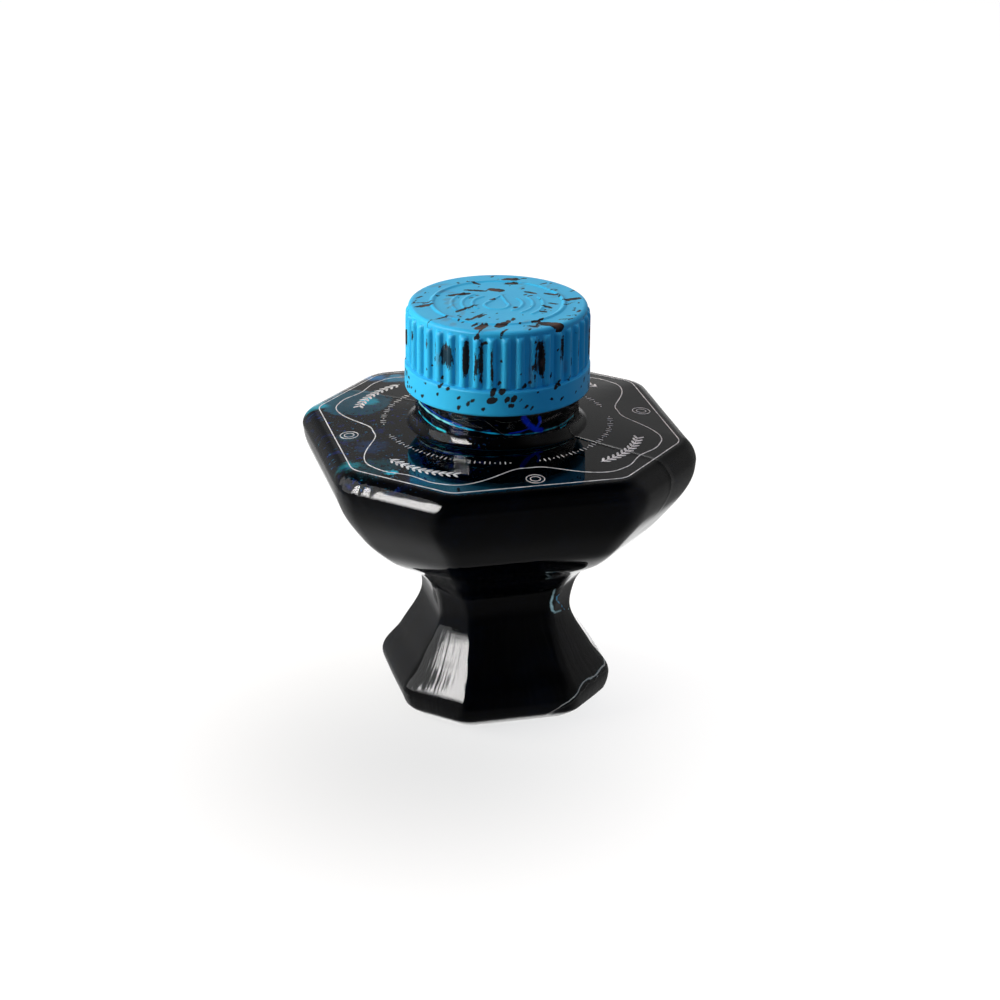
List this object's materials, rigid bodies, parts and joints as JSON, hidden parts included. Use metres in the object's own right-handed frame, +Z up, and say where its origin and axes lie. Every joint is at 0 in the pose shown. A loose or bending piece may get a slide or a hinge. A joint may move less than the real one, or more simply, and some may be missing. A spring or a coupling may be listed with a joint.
{
  "type": "ink bottle",
  "caption": "Eight-sided glass ink bottle with a wide bowl, narrow waist and flared foot, filled with dark ink, under a ribbed round screw cap with a liner.",
  "frame": {"origin": "centre of the standing ring under the foot, on the surface that the bottle stands on", "axes": "+Z up along the bottle's axis and the cap's thread; X and Y point out of the four main flat facets"},
  "size_m": [0.0714, 0.0714, 0.0824],
  "materials": {
    "clear_glass": "polished clear pressed glass with soft fire-polished edges and a fine printed pattern on the shoulder",
    "ink": "blue-black liquid ink, nearly opaque, blue where thin",
    "cap_plastic": "satin sky-blue moulded plastic with black and brown flow streaks and specks",
    "liner_foam": "white expanded polyethylene sealing wad"
  },
  "bodies": {
    "bottle": {"glass_bottle": "clear_glass", "ink_fill": "ink"},
    "liner": {"cap_liner": "liner_foam"},
    "cap": {"cap_shell": "cap_plastic"}
  },
  "joints": [
    {"name": "cap_rise", "type": "slide", "parent": "bottle", "child": "liner", "axis": [0, 0, 1], "range_m": [0, 0.0149]},
    {"name": "cap_turn", "type": "hinge", "parent": "liner", "child": "cap", "pos_m": [0, 0, 0.0653], "axis": [0, 0, 1], "range_deg": [0, 1260]}
  ],
  "couplings": [
    {"joint": "cap_rise", "follows": "cap_turn", "m_per_rad": 0.0006737}
  ]
}
